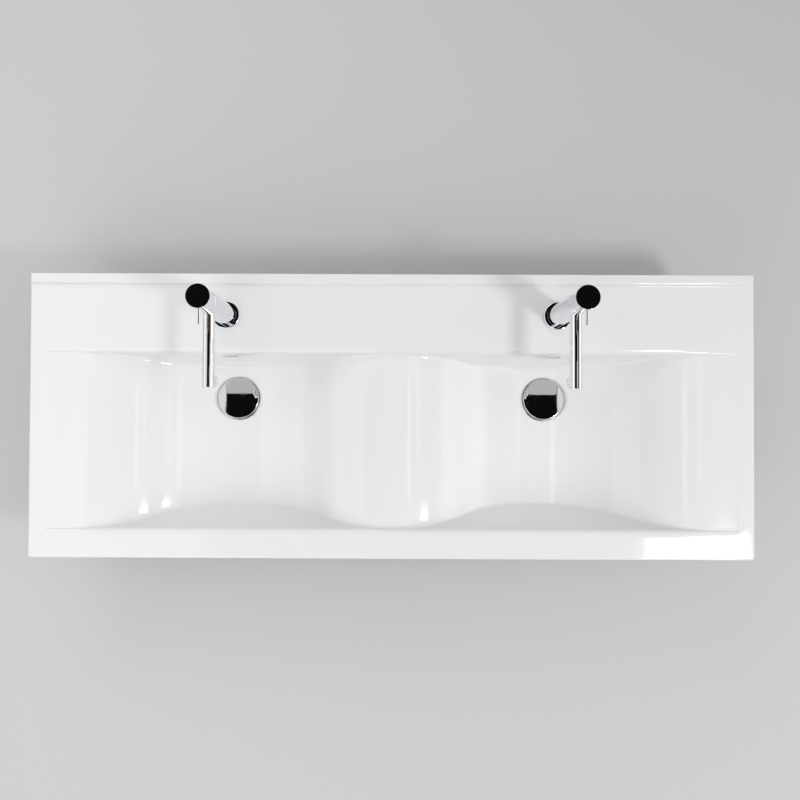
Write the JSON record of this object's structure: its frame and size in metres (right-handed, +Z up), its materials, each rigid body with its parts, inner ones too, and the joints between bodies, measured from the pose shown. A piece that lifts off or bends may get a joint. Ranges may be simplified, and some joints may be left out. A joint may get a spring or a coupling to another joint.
{
  "type": "double vanity basin with taps",
  "caption": "Wide white ceramic vanity basin with a wave-shaped trough, pin-lever chrome mixers, push-open plugs and hidden overflows.",
  "frame": {"origin": "middle of the underside's back edge, where the wall meets the cabinet top", "axes": "+X right along the wall, +Y into the wall (the front faces -Y), +Z up"},
  "size_m": [1.2, 0.47, 0.339],
  "materials": {
    "glaze": "white gloss glaze",
    "tap_chrome": "polished chrome",
    "waste_chrome": "mirror polished chrome",
    "brass": "turned brass",
    "steel": "zinc plated",
    "rubber": "matt black rubber",
    "white_plastic": "moulded acetal"
  },
  "bodies": {
    "basin_unit": {"basin": "glaze", "left_tap_gasket": "rubber", "left_base_ring": "tap_chrome", "left_tap_body": "tap_chrome", "left_spout": "tap_chrome", "left_aerator_shell": "tap_chrome", "left_aerator_core": "white_plastic", "left_cartridge": "white_plastic", "left_cartridge_nut": "brass", "left_collar": "tap_chrome", "left_fixing_stud": "steel", "left_clamp_seal": "rubber", "left_clamp_plate": "steel", "left_stud_nut": "brass", "right_tap_gasket": "rubber", "right_base_ring": "tap_chrome", "right_tap_body": "tap_chrome", "right_spout": "tap_chrome", "right_aerator_shell": "tap_chrome", "right_aerator_core": "white_plastic", "right_cartridge": "white_plastic", "right_cartridge_nut": "brass", "right_collar": "tap_chrome", "right_fixing_stud": "steel", "right_clamp_seal": "rubber", "right_clamp_plate": "steel", "right_stud_nut": "brass", "left_waste_body": "waste_chrome", "left_flange_seal": "rubber", "left_click_case": "white_plastic", "left_click_spring": "steel", "left_lower_seal": "rubber", "left_slip_washer": "white_plastic", "left_back_nut": "brass", "right_waste_body": "waste_chrome", "right_flange_seal": "rubber", "right_click_case": "white_plastic", "right_click_spring": "steel", "right_lower_seal": "rubber", "right_slip_washer": "white_plastic", "right_back_nut": "brass"},
    "left_stem": {"left_rotor": "white_plastic", "left_rotor_pin": "steel"},
    "left_handle": {"left_spindle": "brass", "left_handle_cap": "tap_chrome", "left_lever_pin": "tap_chrome", "left_grub_screw": "steel"},
    "left_plug_unit": {"left_plug_cap": "waste_chrome", "left_plug_seal": "rubber", "left_plunger": "brass"},
    "right_stem": {"right_rotor": "white_plastic", "right_rotor_pin": "steel"},
    "right_handle": {"right_spindle": "brass", "right_handle_cap": "tap_chrome", "right_lever_pin": "tap_chrome", "right_grub_screw": "steel"},
    "right_plug_unit": {"right_plug_cap": "waste_chrome", "right_plug_seal": "rubber", "right_plunger": "brass"}
  },
  "joints": [
    {"name": "left_temperature", "type": "hinge", "parent": "basin_unit", "child": "left_stem", "pos_m": [-0.274, -0.068, 0.173], "axis": [0, 0, 1], "range_deg": [-45, 45]},
    {"name": "left_flow", "type": "hinge", "parent": "left_stem", "child": "left_handle", "pos_m": [-0.274, -0.068, 0.173], "axis": [-1, 0, 0], "range_deg": [0, 20]},
    {"name": "left_plug_lift", "type": "slide", "parent": "basin_unit", "child": "left_plug_unit", "axis": [0, 0, 1], "range_m": [0, 0.009], "deforming": ["left_click_spring"]},
    {"name": "right_temperature", "type": "hinge", "parent": "basin_unit", "child": "right_stem", "pos_m": [0.274, -0.068, 0.173], "axis": [0, 0, 1], "range_deg": [-45, 45]},
    {"name": "right_flow", "type": "hinge", "parent": "right_stem", "child": "right_handle", "pos_m": [0.274, -0.068, 0.173], "axis": [-1, 0, 0], "range_deg": [0, 20]},
    {"name": "right_plug_lift", "type": "slide", "parent": "basin_unit", "child": "right_plug_unit", "axis": [0, 0, 1], "range_m": [0, 0.009], "deforming": ["right_click_spring"]}
  ]
}
